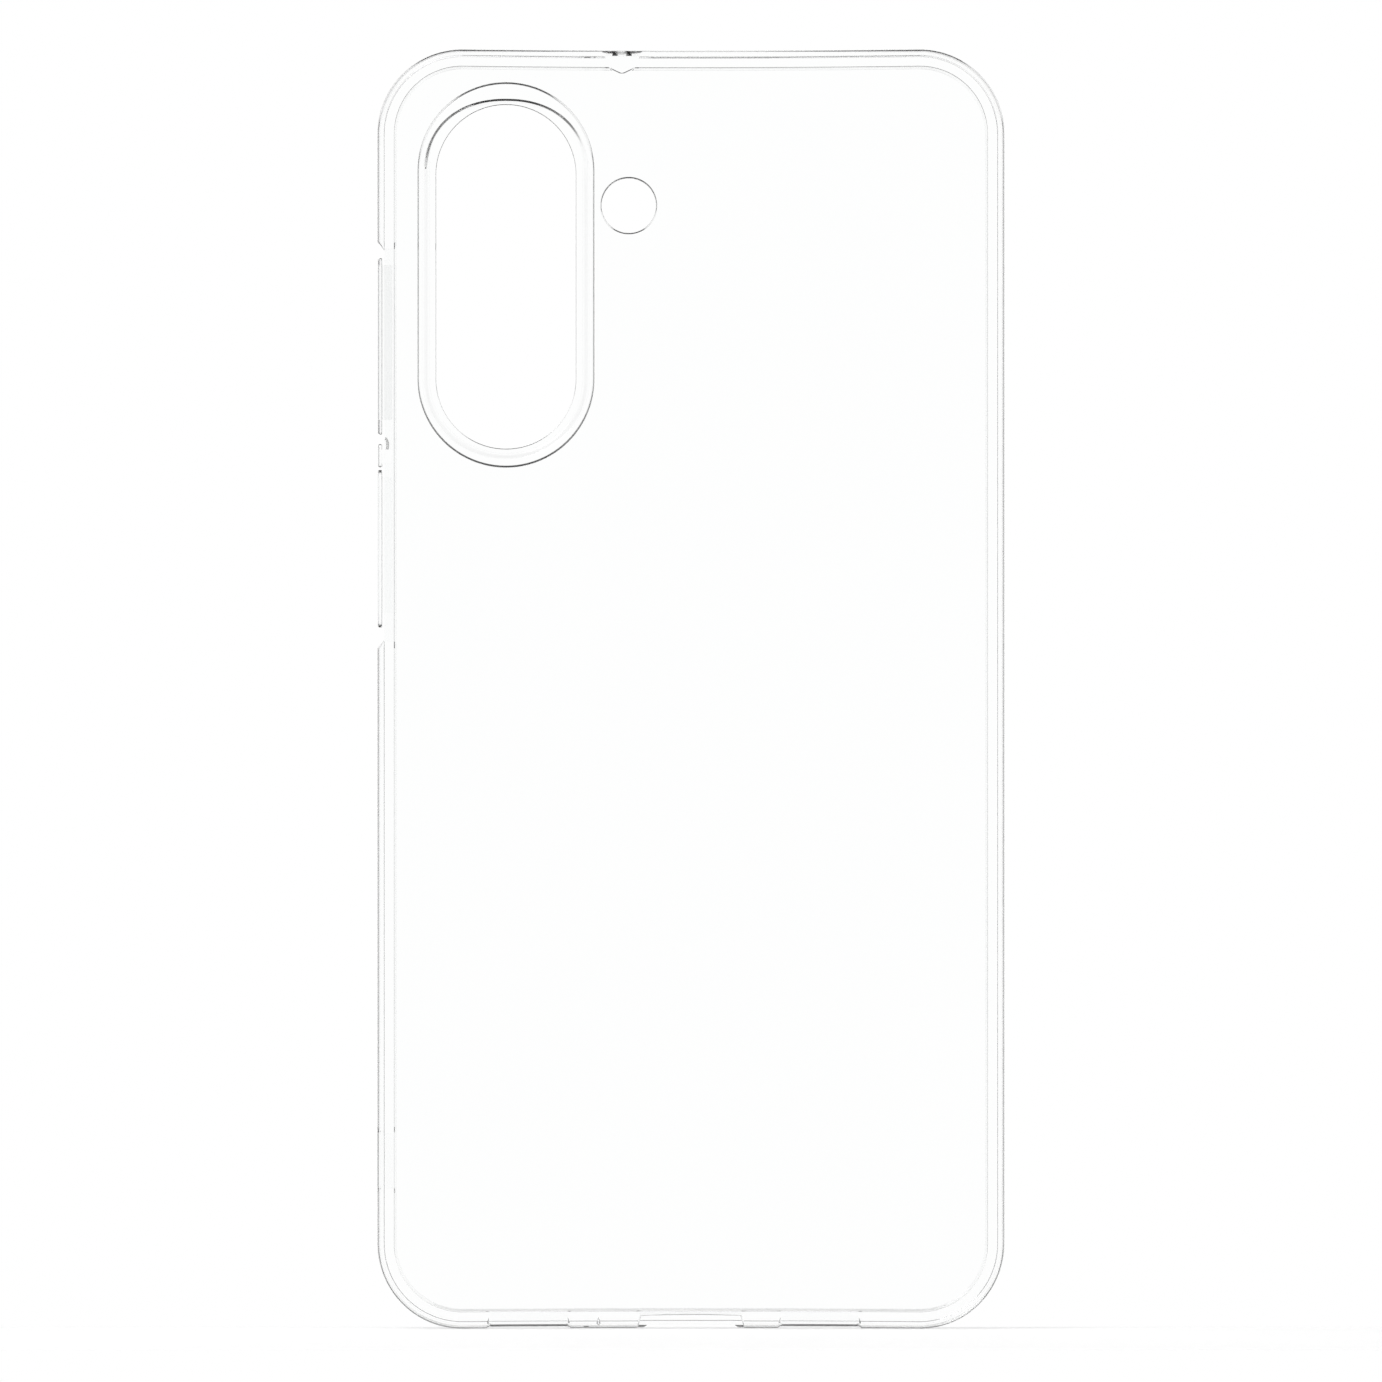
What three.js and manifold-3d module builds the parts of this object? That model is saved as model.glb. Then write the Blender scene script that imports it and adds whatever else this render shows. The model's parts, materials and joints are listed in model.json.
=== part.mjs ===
// Clear protective case for a 6.7-inch phone: a hard back panel with a raised camera guard,
// held in a soft bumper frame whose front lip hooks over the screen edge. Two key covers in
// the left wall press the phone's side keys.
//
// Millimetres, +Z up. The case stands on its bottom edge with its back towards -Y, so the
// phone goes in from +Y. The origin is the centre of the bounding box's bottom face.

import * as THREE from 'three';
import { mergeVertices } from 'three/addons/utils/BufferGeometryUtils.js';
import Module from 'manifold-3d';

const wasm = await Module();
wasm.setup();

// Space for the phone, moulded a little tight so that the soft frame grips it.
const CAVITY_WIDTH = 77.1;
const CAVITY_HEIGHT = 161.8;
const CAVITY_DEPTH = 7.4;

// Shell thicknesses.
const WALL = 2.15;
const BACK_THICKNESS = 1.2;
const LIP_THICKNESS = 1.3;
const LIP_OVERHANG = 0.3;
const LIP_UNDERCUT = 0.2;
const LIP_EDGE_CHAMFER = 0.2;
const FLOOR_FILLET = 0.15;

// Outside of the case. The edges are rounded more along the depth than across it, and a
// shallow ledge in front leaves the lip standing proud.
const CASE_WIDTH = CAVITY_WIDTH + 2 * WALL;
const CASE_HEIGHT = CAVITY_HEIGHT + 2 * WALL;
const CASE_DEPTH = BACK_THICKNESS + CAVITY_DEPTH + LIP_THICKNESS;
const CORNER_RADIUS = 11;
const BACK_EDGE = { across: 0.46, along: 1.3 };
const FRONT_EDGE = { across: 0.4, along: 0.8 };
const LEDGE_INSET = 0.87;
const LEDGE_DROP = 0.35;
const LIP_OUTER_CHAMFER = 0.08;

// The panel is bonded into the frame along a line this far inside the outline.
const BOND_INSET = WALL + FLOOR_FILLET;

// Neighbouring solids are moulded or bonded together, and are kept this far apart.
const GAP = 0.3;

// Camera opening: an upright slot with round ends inside a raised guard.
const CAMERA_X = -24.0;
const CAMERA_Z = 136.55;
const CAMERA_STRAIGHT = 26.5;
const CAMERA_RADIUS = 9.05;
const GUARD_HEIGHT = 1.2;
const GUARD_Z = 136.8;
const GUARD_STRAIGHT = 27.1;
const GUARD_BASE_RADIUS = 11.5;

// Knots of the guard's outside and inside, each [height above the back, radius].
const GUARD_OUTSIDE = [[GUARD_HEIGHT, 10.8], [1.0, 11.0], [0.6, 11.13], [0, 11.2]];
const GUARD_INSIDE = [[GUARD_HEIGHT, 10.4], [0.9, 10.15], [0.9, 9.25], [0.3, 9.05], [0, 9.05]];

// Flash opening.
const FLASH_X = -8.05;
const FLASH_Z = 145.85;
const FLASH_RADIUS = 3.55;

// Openings in the bottom wall: clear spans along X, between these depths.
const BOTTOM_OPENING_DEPTHS = [1.2, 7.3];
const SPEAKER_SLOT = [-26.2, -16.0];
const PLUG_OPENING = [-6.45, 6.45];
const TRAY_SLOT = [11.65, 21.8];
const SLOT_RECESS = 0.24;
const PLUG_NOTCH_INSET = 1.7;

// Openings in the left wall: clear spans along Z, between these depths.
const LEFT_OPENING_DEPTHS = [2.0, 7.2];
const KEY_WINDOW = [89.2, 140.2];
const KEY_RECESS = 0.75;
const STRAP_OPENING = [18.25, 25.5];
const KEY_POST = [111.85, 114.25];

// Opening ends splay outwards by this much through the wall.
const FLARE = 0.65;

// Microphone holes: a cone outside a bore. The top one opens into a pocket behind the skin.
const TOP_MIC_X = -8.95;
const TOP_MIC_RADIUS = 1.2;
const TOP_MIC_CONE = { radius: 2.2, deep: 0.6 };
const TOP_MIC_POCKET = { span: 4.4, skin: 0.7 };
const BOTTOM_MIC_X = -13.6;
const BOTTOM_MIC_RADIUS = 0.6;
const BOTTOM_MIC_CONE = { radius: 2, deep: 0.95 };
const MIC_DEPTH = 4.3;

// Key covers: spans along Z, with a rib on the inside that reaches the phone's key.
const VOLUME_KEY = [116.1, 139.0];
const POWER_KEY = [91.05, 111.5];
const KEY_SIDE_CLEARANCE = 0.35;
const KEY_INSET = 0.1;
const KEY_THICKNESS = 1.0;
const KEY_CORNER_RADIUS = 1.2;
const KEY_RIB_HEIGHT = 0.4;
const KEY_RIB_MARGIN = 1.4;
const KEY_RIB_RADIUS = 0.6;

// Fineness of round stretches.
const EDGE_STEPS = 6;
const RING_SEGMENTS = 64;
const CURVE_SEGMENTS = 14;

// Cutters run past the faces they cut by this much.
const OVERCUT = 1;

const CASE_CENTRE_Z = CASE_HEIGHT / 2;
const LIP_DEPTH = CASE_DEPTH - LIP_THICKNESS;

/** Y of a plane that lies the given depth in front of the outer back face. */
function depthToY(depth) {
  return depth - (CASE_DEPTH - GUARD_HEIGHT) / 2;
}

/** Material of one piece: colourless plastic, softer pieces a little less glossy. */
function clearPlastic(colour, roughness, opacity) {
  return new THREE.MeshStandardMaterial({
    color: colour,
    roughness,
    metalness: 0,
    transparent: true,
    opacity,
  });
}

const hardClear = () => clearPlastic('#f6faf9', 0.05, 0.3);
const softClear = () => clearPlastic('#eef4f3', 0.15, 0.4);
const keyClear = () => clearPlastic('#e9f0ef', 0.2, 0.45);

/** Geometry as a solid for joining and cutting. */
function toSolid(geometry) {
  const bare = geometry.index ? geometry.toNonIndexed() : geometry.clone();
  bare.deleteAttribute('normal');
  bare.deleteAttribute('uv');
  const merged = mergeVertices(bare, 1e-4);
  return new wasm.Manifold(new wasm.Mesh({
    numProp: 3,
    vertProperties: new Float32Array(merged.attributes.position.array),
    triVerts: new Uint32Array(merged.index.array),
  }));
}

/** Solid back as geometry, with flat-shaded normals. */
function toGeometry(solid) {
  const mesh = solid.getMesh();
  const geometry = new THREE.BufferGeometry();
  geometry.setAttribute('position', new THREE.BufferAttribute(mesh.vertProperties, 3));
  geometry.setIndex(new THREE.BufferAttribute(mesh.triVerts, 1));
  geometry.computeVertexNormals();
  return geometry;
}

/** Body minus cutters, all given as geometry. */
function cut(body, cutters) {
  let solid = toSolid(body);
  for (const cutter of cutters) {
    solid = solid.subtract(toSolid(cutter));
  }
  return toGeometry(solid);
}

/** Named mesh of one piece. */
function piece(name, geometry, material) {
  const mesh = new THREE.Mesh(geometry, material);
  mesh.name = name;
  return mesh;
}

/** Rectangle with round corners, centred on the origin. */
function roundedRectangle(width, height, radius) {
  const x = width / 2 - radius;
  const y = height / 2 - radius;
  const quarter = Math.PI / 2;
  const outline = new THREE.Shape();
  outline.moveTo(x + radius, -y);
  outline.absarc(x, y, radius, 0, quarter);
  outline.absarc(-x, y, radius, quarter, 2 * quarter);
  outline.absarc(-x, -y, radius, 2 * quarter, 3 * quarter);
  outline.absarc(x, -y, radius, 3 * quarter, 4 * quarter);
  return outline;
}

/** Upright slot outline with round ends. */
function slotOutline(centreX, centreZ, radius, straight) {
  const outline = new THREE.Path();
  outline.absarc(centreX, centreZ + straight / 2, radius, 0, Math.PI);
  outline.absarc(centreX, centreZ - straight / 2, radius, Math.PI, 2 * Math.PI);
  return outline;
}

/** Flat outline in X and Z, made solid between two depths. */
function slab(outline, lowDepth, highDepth) {
  const geometry = new THREE.ExtrudeGeometry(outline, {
    depth: highDepth - lowDepth,
    bevelEnabled: false,
    curveSegments: CURVE_SEGMENTS,
  });
  return geometry.rotateX(Math.PI / 2).translate(0, depthToY(highDepth), 0);
}

// ---- Back panel and camera guard ----

function backPanel() {
  const inset = BOND_INSET + GAP;
  const outline = roundedRectangle(CASE_WIDTH - 2 * inset, CASE_HEIGHT - 2 * inset, CORNER_RADIUS - inset);
  const guardZ = GUARD_Z - CASE_CENTRE_Z;
  outline.holes.push(slotOutline(CAMERA_X, guardZ, GUARD_BASE_RADIUS, GUARD_STRAIGHT));
  const flash = new THREE.Path();
  flash.absarc(FLASH_X, FLASH_Z - CASE_CENTRE_Z, FLASH_RADIUS, 0, 2 * Math.PI);
  outline.holes.push(flash);
  const panel = piece('back_panel', slab(outline, 0, BACK_THICKNESS), hardClear());
  panel.position.z = CASE_CENTRE_Z;
  return panel;
}

/** Upright slot-shaped block that runs evenly between two [height, radius] knots. */
function taperedSlot([topHeight, topRadius], [lowHeight, lowRadius], straight) {
  const topY = depthToY(-topHeight);
  const lowY = depthToY(-lowHeight);
  const end = new THREE.CylinderGeometry(lowRadius, topRadius, lowY - topY, RING_SEGMENTS);
  end.translate(0, (topY + lowY) / 2, 0);
  const middle = new THREE.ExtrudeGeometry(new THREE.Shape([
    new THREE.Vector2(-topRadius, topY),
    new THREE.Vector2(topRadius, topY),
    new THREE.Vector2(lowRadius, lowY),
    new THREE.Vector2(-lowRadius, lowY),
  ]), { depth: straight, bevelEnabled: false });
  middle.translate(0, 0, -straight / 2);
  return toSolid(middle)
    .add(toSolid(end.clone().translate(0, 0, straight / 2)))
    .add(toSolid(end.translate(0, 0, -straight / 2)));
}

/** Stack of tapered slots through knots, from the crest down. */
function slotStack(knots, straight) {
  const layers = [];
  for (let i = 1; i < knots.length; i += 1) {
    if (knots[i - 1][0] > knots[i][0]) {
      layers.push(taperedSlot(knots[i - 1], knots[i], straight));
    }
  }
  return layers.reduce((stack, layer) => stack.add(layer));
}

function cameraGuard() {
  const outside = [...GUARD_OUTSIDE, [-BACK_THICKNESS, GUARD_BASE_RADIUS - GAP]];
  const above = [GUARD_HEIGHT + OVERCUT, GUARD_INSIDE[0][1]];
  const below = [-BACK_THICKNESS - OVERCUT, CAMERA_RADIUS];
  const opening = slotStack([above, ...GUARD_INSIDE, below], CAMERA_STRAIGHT);
  const solid = slotStack(outside, GUARD_STRAIGHT).subtract(opening.translate(0, 0, CAMERA_Z - GUARD_Z));
  const guard = piece('camera_guard', toGeometry(solid), hardClear());
  guard.position.set(CAMERA_X, 0, GUARD_Z);
  return guard;
}

// ---- Bumper frame ----
//
// Every stretch of the frame has the same section: a foot bonded to the panel, a wall, and
// a lip. Its outer and inner faces are given as insets from the outline at each depth.

/** Rounded edge as [depth, inset] knots, from the end where the rounding starts. */
function roundedEdge({ across, along }, startDepth, direction) {
  const knots = [];
  for (let step = 0; step <= EDGE_STEPS; step += 1) {
    const angle = (step / EDGE_STEPS) * (Math.PI / 2);
    knots.push([startDepth + direction * along * (1 - Math.cos(angle)), across * (1 - Math.sin(angle))]);
  }
  return knots;
}

const LEDGE_DEPTH = CASE_DEPTH - LEDGE_DROP;

/** Knots of the outer face, each [depth, inset]. */
const OUTER_FACE = [
  ...roundedEdge(BACK_EDGE, 0, 1),
  ...roundedEdge(FRONT_EDGE, LEDGE_DEPTH, -1).reverse(),
  [LEDGE_DEPTH, LEDGE_INSET],
  [CASE_DEPTH - LIP_OUTER_CHAMFER, LEDGE_INSET],
  [CASE_DEPTH, LEDGE_INSET + LIP_OUTER_CHAMFER],
];

/** Knots of the inner face, each [depth, inset]. */
const INNER_FACE = [
  [0, BOND_INSET],
  [BACK_THICKNESS, BOND_INSET],
  [BACK_THICKNESS + FLOOR_FILLET, WALL],
  [LIP_DEPTH, WALL],
  [LIP_DEPTH + LIP_UNDERCUT, WALL + LIP_OVERHANG],
  [CASE_DEPTH - LIP_EDGE_CHAMFER, WALL + LIP_OVERHANG],
  [CASE_DEPTH, WALL + LIP_OVERHANG - LIP_EDGE_CHAMFER],
];

/** Inset of a face at a depth, on the straight line between its knots. */
function insetAt(face, depth) {
  const next = Math.max(face.findIndex(([knot]) => knot >= depth), 1);
  const [lowDepth, lowInset] = face[next - 1];
  const [highDepth, highInset] = face[next];
  return THREE.MathUtils.mapLinear(depth, lowDepth, highDepth, lowInset, highInset);
}

/** Part of a face between two depths, as knots in rising order. */
function faceBetween(face, low, high) {
  const inside = face.filter(([depth]) => depth > low + 1e-3 && depth < high - 1e-3);
  const end = high > CASE_DEPTH - 1e-3 ? face[face.length - 1][1] : insetAt(face, high);
  return [[low, insetAt(face, low)], ...inside, [high, end]];
}

/** Frame section between two depths: X is outwards from the outline, Y is forward. */
function frameSection(low, high, offsetX = 0) {
  const outer = faceBetween(OUTER_FACE, low, high);
  const inner = faceBetween(INNER_FACE, low, high).reverse();
  return [...outer, ...inner].map(([depth, inset]) => new THREE.Vector2(offsetX - inset, depthToY(depth)));
}

/** Straight stretch of the frame, from start to end along Z, with the outline at X = 0. */
function straightRun([low, high], start, end) {
  const geometry = new THREE.ExtrudeGeometry(new THREE.Shape(frameSection(low, high)), {
    depth: end - start,
    bevelEnabled: false,
  });
  return geometry.translate(0, 0, start);
}

/** Quarter turn of the frame, for one corner, about its centre of curvature. */
function cornerTurn() {
  const section = frameSection(0, CASE_DEPTH, CORNER_RADIUS);
  const ring = new THREE.LatheGeometry([...section, section[0]], RING_SEGMENTS);
  const quadrant = new THREE.BoxGeometry(CORNER_RADIUS, 2 * CASE_DEPTH, CORNER_RADIUS);
  quadrant.translate(CORNER_RADIUS / 2, 0, CORNER_RADIUS / 2);
  return toGeometry(toSolid(ring).intersect(toSolid(quadrant)));
}

/** Opening cutter whose ends splay outwards, for a wall whose outline is at X = 0. */
function splayedCutter(start, end, [low, high], reach = WALL) {
  const slope = FLARE / WALL;
  const outerGrow = slope * (WALL + OVERCUT);
  const innerGrow = slope * (WALL - reach);
  const outline = new THREE.Shape([
    new THREE.Vector2(OVERCUT, start - outerGrow),
    new THREE.Vector2(OVERCUT, end + outerGrow),
    new THREE.Vector2(-reach, end + innerGrow),
    new THREE.Vector2(-reach, start - innerGrow),
  ]);
  return slab(outline, low, high);
}

/** Shallow recess across the outside of the wall. */
function recessCutter(start, end) {
  const box = new THREE.BoxGeometry(2 * SLOT_RECESS, 2 * CASE_DEPTH, end - start);
  return box.translate(0, 0, (start + end) / 2);
}

/** Round bore through the wall, from a start outside it. */
function boreCutter(along, radius) {
  const bore = new THREE.CylinderGeometry(radius, radius, 2 * (WALL + OVERCUT), RING_SEGMENTS / 2);
  return bore.rotateZ(-Math.PI / 2).translate(0, depthToY(MIC_DEPTH), along);
}

/** Cone outside a bore, wider by the same slope where it runs past the wall. */
function coneCutter(along, boreRadius, { radius, deep }) {
  const slope = (radius - boreRadius) / deep;
  const cone = new THREE.CylinderGeometry(radius + slope * deep, boreRadius, 2 * deep, RING_SEGMENTS / 2);
  return cone.rotateZ(-Math.PI / 2).translate(0, depthToY(MIC_DEPTH), along);
}

/** Pocket behind a skin on the wall, open to the inside and through the lip. */
function pocketCutter(along, { span, skin }) {
  const outline = new THREE.Shape([
    new THREE.Vector2(-skin, along - span / 2),
    new THREE.Vector2(-skin, along + span / 2),
    new THREE.Vector2(-skin - 2 * WALL, along + span / 2),
    new THREE.Vector2(-skin - 2 * WALL, along - span / 2),
  ]);
  return slab(outline, BACK_THICKNESS, CASE_DEPTH + OVERCUT);
}

/**
 * One side of the frame. Inside the group, X = 0 is the outline and +X points outwards, and
 * Z runs anticlockwise round the case as seen from behind, from the side's middle.
 */
function sideGroup(turn, halfSpan, pieces) {
  const side = new THREE.Group();
  side.position.z = CASE_CENTRE_Z;
  side.rotation.y = turn;
  const face = new THREE.Group();
  face.position.x = halfSpan;
  face.add(...pieces);
  side.add(face);
  return side;
}

const HALF_LONG_SIDE = CASE_HEIGHT / 2 - CORNER_RADIUS - GAP;
const HALF_SHORT_SIDE = CASE_WIDTH / 2 - CORNER_RADIUS - GAP;
const FULL_DEPTH = [0, CASE_DEPTH];

/** Depths of the wall panels that stand between a back rail and a front lip. */
function betweenRails([low, high]) {
  return [low + GAP, high - GAP];
}

function rightSide() {
  const wall = straightRun(FULL_DEPTH, -HALF_LONG_SIDE, HALF_LONG_SIDE);
  return sideGroup(0, CASE_WIDTH / 2, [piece('right_wall', wall, softClear())]);
}

function topSide() {
  const run = straightRun(FULL_DEPTH, -HALF_SHORT_SIDE, HALF_SHORT_SIDE);
  const wall = cut(run, [
    boreCutter(-TOP_MIC_X, TOP_MIC_RADIUS),
    coneCutter(-TOP_MIC_X, TOP_MIC_RADIUS, TOP_MIC_CONE),
    pocketCutter(-TOP_MIC_X, TOP_MIC_POCKET),
  ]);
  return sideGroup(-Math.PI / 2, CASE_HEIGHT / 2, [piece('top_wall', wall, softClear())]);
}

function bottomSide() {
  const [low, high] = BOTTOM_OPENING_DEPTHS;
  const half = HALF_SHORT_SIDE;
  const recesses = [recessCutter(...SPEAKER_SLOT), recessCutter(...TRAY_SLOT)];
  const plugCutter = splayedCutter(...PLUG_OPENING, BOTTOM_OPENING_DEPTHS);
  const plugNotch = splayedCutter(...PLUG_OPENING, [-OVERCUT, high], PLUG_NOTCH_INSET);
  const mic = [
    boreCutter(BOTTOM_MIC_X, BOTTOM_MIC_RADIUS),
    coneCutter(BOTTOM_MIC_X, BOTTOM_MIC_RADIUS, BOTTOM_MIC_CONE),
  ];
  const panelBetween = (start, end) => straightRun(betweenRails(BOTTOM_OPENING_DEPTHS), start, end);
  const solids = {
    bottom_back_rail: cut(straightRun([0, low], -half, half), [...recesses, plugNotch]),
    bottom_front_lip: cut(straightRun([high, CASE_DEPTH], -half, half), recesses),
    bottom_wall_left: panelBetween(-half, SPEAKER_SLOT[0]),
    bottom_wall_mic: cut(panelBetween(SPEAKER_SLOT[1], PLUG_OPENING[0]), [plugCutter, ...mic]),
    bottom_wall_plug_side: cut(panelBetween(PLUG_OPENING[1], TRAY_SLOT[0]), [plugCutter]),
    bottom_wall_right: panelBetween(TRAY_SLOT[1], half),
  };
  const pieces = Object.entries(solids).map(([name, solid]) => piece(name, solid, softClear()));
  return sideGroup(Math.PI / 2, CASE_HEIGHT / 2, pieces);
}

/** Position along the left side, which runs downwards, of a span of heights. */
function leftSpan([lowZ, highZ]) {
  return [CASE_CENTRE_Z - highZ, CASE_CENTRE_Z - lowZ];
}

function leftSide() {
  const [low, high] = LEFT_OPENING_DEPTHS;
  const half = HALF_LONG_SIDE;
  const keyWindow = leftSpan(KEY_WINDOW);
  const strap = leftSpan(STRAP_OPENING);
  const post = leftSpan(KEY_POST);
  const windowCutter = splayedCutter(...keyWindow, LEFT_OPENING_DEPTHS);
  const strapCutter = splayedCutter(...strap, LEFT_OPENING_DEPTHS);
  const keyRecess = splayedCutter(...keyWindow, [-OVERCUT, CASE_DEPTH + OVERCUT], KEY_RECESS);
  const panelBetween = (start, end) => straightRun(betweenRails(LEFT_OPENING_DEPTHS), start, end);
  const solids = {
    left_back_rail: cut(straightRun([0, low], -half, half), [keyRecess]),
    left_front_lip: cut(straightRun([high, CASE_DEPTH], -half, half), [keyRecess]),
    left_wall_upper: cut(panelBetween(-half, keyWindow[0]), [windowCutter]),
    key_window_post: panelBetween(...post),
    left_wall_middle: cut(panelBetween(keyWindow[1], strap[0]), [windowCutter, strapCutter]),
    left_wall_lower: cut(panelBetween(strap[1], half), [strapCutter]),
  };
  const pieces = Object.entries(solids).map(([name, solid]) => piece(name, solid, softClear()));
  return sideGroup(Math.PI, CASE_WIDTH / 2, pieces);
}

function corners() {
  const x = CASE_WIDTH / 2 - CORNER_RADIUS;
  const z = CASE_HEIGHT / 2 - CORNER_RADIUS;
  const places = {
    corner_top_right: [x, z, 0],
    corner_top_left: [-x, z, -Math.PI / 2],
    corner_bottom_left: [-x, -z, Math.PI],
    corner_bottom_right: [x, -z, Math.PI / 2],
  };
  return Object.entries(places).map(([name, [centreX, centreZ, turn]]) => {
    const corner = piece(name, cornerTurn(), softClear());
    corner.position.set(centreX, 0, CASE_CENTRE_Z + centreZ);
    corner.rotation.y = turn;
    return corner;
  });
}

// ---- Key covers ----

/** Round-cornered block in the wall: span along the side, depths, and insets of its faces. */
function keyBlock([start, end], [low, high], [outerFace, innerFace], radius) {
  const outline = roundedRectangle(high - low, end - start, radius);
  const block = new THREE.ExtrudeGeometry(outline, {
    depth: innerFace - outerFace,
    bevelEnabled: false,
    curveSegments: EDGE_STEPS,
  });
  block.rotateY(Math.PI / 2).rotateX(Math.PI / 2);
  return block.translate(-innerFace, depthToY((low + high) / 2), (start + end) / 2);
}

/** Cover over a side key, with a narrower rib behind it that reaches the phone's key. */
function keyCover(name, heights) {
  const [start, end] = leftSpan(heights);
  const [low, high] = LEFT_OPENING_DEPTHS;
  const depths = [low + KEY_SIDE_CLEARANCE, high - KEY_SIDE_CLEARANCE];
  const innerFace = KEY_INSET + KEY_THICKNESS;
  const pad = keyBlock([start, end], depths, [KEY_INSET, innerFace], KEY_CORNER_RADIUS);
  const rib = keyBlock(
    [start + KEY_RIB_MARGIN, end - KEY_RIB_MARGIN],
    [depths[0] + KEY_RIB_MARGIN, depths[1] - KEY_RIB_MARGIN],
    [KEY_INSET + KEY_THICKNESS / 2, innerFace + KEY_RIB_HEIGHT],
    KEY_RIB_RADIUS,
  );
  return piece(name, toGeometry(toSolid(pad).add(toSolid(rib))), keyClear());
}

const phoneCase = new THREE.Group();
phoneCase.add(
  backPanel(),
  cameraGuard(),
  rightSide(),
  topSide(),
  bottomSide(),
  leftSide(),
  ...corners(),
  sideGroup(Math.PI, CASE_WIDTH / 2, [
    keyCover('volume_key_cover', VOLUME_KEY),
    keyCover('power_key_cover', POWER_KEY),
  ]),
);

export default phoneCase;
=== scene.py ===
"""Looks of the clear phone case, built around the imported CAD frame. Metres, +Z up."""

import json
import math

import bmesh
import bpy
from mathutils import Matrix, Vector

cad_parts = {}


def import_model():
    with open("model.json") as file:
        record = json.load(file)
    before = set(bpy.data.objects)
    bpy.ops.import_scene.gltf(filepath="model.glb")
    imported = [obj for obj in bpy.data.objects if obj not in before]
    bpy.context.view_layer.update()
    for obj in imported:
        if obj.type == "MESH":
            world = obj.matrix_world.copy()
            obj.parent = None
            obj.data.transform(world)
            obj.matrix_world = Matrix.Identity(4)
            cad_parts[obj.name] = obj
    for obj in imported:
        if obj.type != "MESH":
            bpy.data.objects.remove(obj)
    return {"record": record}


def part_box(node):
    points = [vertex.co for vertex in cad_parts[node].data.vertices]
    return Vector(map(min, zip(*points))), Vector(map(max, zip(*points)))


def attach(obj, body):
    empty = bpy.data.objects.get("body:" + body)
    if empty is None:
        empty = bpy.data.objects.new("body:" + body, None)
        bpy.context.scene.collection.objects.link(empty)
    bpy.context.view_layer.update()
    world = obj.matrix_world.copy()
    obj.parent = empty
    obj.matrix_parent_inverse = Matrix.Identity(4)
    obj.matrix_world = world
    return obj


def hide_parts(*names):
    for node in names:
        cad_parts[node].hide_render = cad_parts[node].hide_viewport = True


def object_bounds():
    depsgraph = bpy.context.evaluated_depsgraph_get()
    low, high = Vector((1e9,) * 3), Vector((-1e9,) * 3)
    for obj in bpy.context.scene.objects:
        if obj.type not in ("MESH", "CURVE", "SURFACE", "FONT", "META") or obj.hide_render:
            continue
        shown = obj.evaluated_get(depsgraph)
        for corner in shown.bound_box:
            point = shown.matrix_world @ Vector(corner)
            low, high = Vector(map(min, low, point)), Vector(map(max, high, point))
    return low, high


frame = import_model()
cad_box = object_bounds()

MM = 0.001

# ---- Sizes read from the frame ----

case_lo, case_hi = cad_box
panel_lo, panel_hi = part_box("back_panel")
guard_lo, guard_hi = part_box("camera_guard")
volume_lo, volume_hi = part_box("volume_key_cover")
power_lo, power_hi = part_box("power_key_cover")
post_lo, post_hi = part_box("key_window_post")
side_wall_lo, side_wall_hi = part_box("left_wall_upper")
mic_wall_lo, mic_wall_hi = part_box("bottom_wall_mic")

BACK_Y = panel_lo.y
FLOOR_Y = panel_hi.y
FRONT_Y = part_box("right_wall")[1].y
HALF_WIDTH = case_hi.x
HALF_HEIGHT = (case_hi.z - case_lo.z) / 2
MIDDLE_Z = case_lo.z + HALF_HEIGHT
LEFT_X = -HALF_WIDTH
TOP_Z = case_hi.z
BOTTOM_Z = case_lo.z

# The CAD's pieces stand this far apart. An opening beside a wall takes up the gap.
CAD_GAP = 0.3 * MM

# ---- Section of the frame ----
# An inset is measured inwards from the outline. Edges are (across, along Y).

CORNER_RADIUS = 11 * MM
WALL = 2.15 * MM
BACK_EDGE = (0.46 * MM, 1.3 * MM)
FRONT_EDGE = (0.4 * MM, 0.8 * MM)
BOND_INSET = 2.3 * MM
BOND_GAP = 0.02 * MM
FLOOR_FILLET = 0.14 * MM

# A narrow ledge runs round the front, a step below the lip.
LEDGE_INSET = 0.87 * MM
LEDGE_DROP = 0.35 * MM
LEDGE_FILLET = 0.15 * MM

LIP_INSET = 2.45 * MM
LIP_HEIGHT = 1.3 * MM
LIP_UNDERCUT = 0.2 * MM
LIP_OUTER_RADIUS = 0.09 * MM
LIP_INNER_RADIUS = 0.3 * MM

# The short sides are drawn in a little between the corners.
TOP_BOW = 0.2 * MM
BOTTOM_BOW = 0.1 * MM

# The bottom edges, and those round the corners, are rounded this much more.
BOTTOM_EDGE_GAIN = 0.45
CORNER_EDGE_GAIN = 0.45

# The small step between ledge and lip slopes by this much along the top.
TOP_DRAFT = 0.13 * MM

# ---- Openings ----
# Openings and dents are spans along a side: along Z on the left, along X on the top and bottom.

KEY_WINDOW = (89.2 * MM, 140.2 * MM)
STRAP_OPENING = (18.25 * MM, 25.5 * MM)
SPEAKER_SLOT = (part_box("bottom_wall_left")[1].x, mic_wall_lo.x)
TRAY_SLOT = (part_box("bottom_wall_plug_side")[1].x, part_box("bottom_wall_right")[0].x)
PLUG_OPENING = (-6.45 * MM, 6.45 * MM)

# Heights in Y between which the left and the bottom wall are open.
SIDE_LOW_Y, SIDE_HIGH_Y = side_wall_lo.y - CAD_GAP, side_wall_hi.y + CAD_GAP
BOTTOM_LOW_Y, BOTTOM_HIGH_Y = mic_wall_lo.y - CAD_GAP, mic_wall_hi.y + CAD_GAP

# The bottom openings stop this far short of the back, behind a low curb.
CURB = 0.3 * MM

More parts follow.
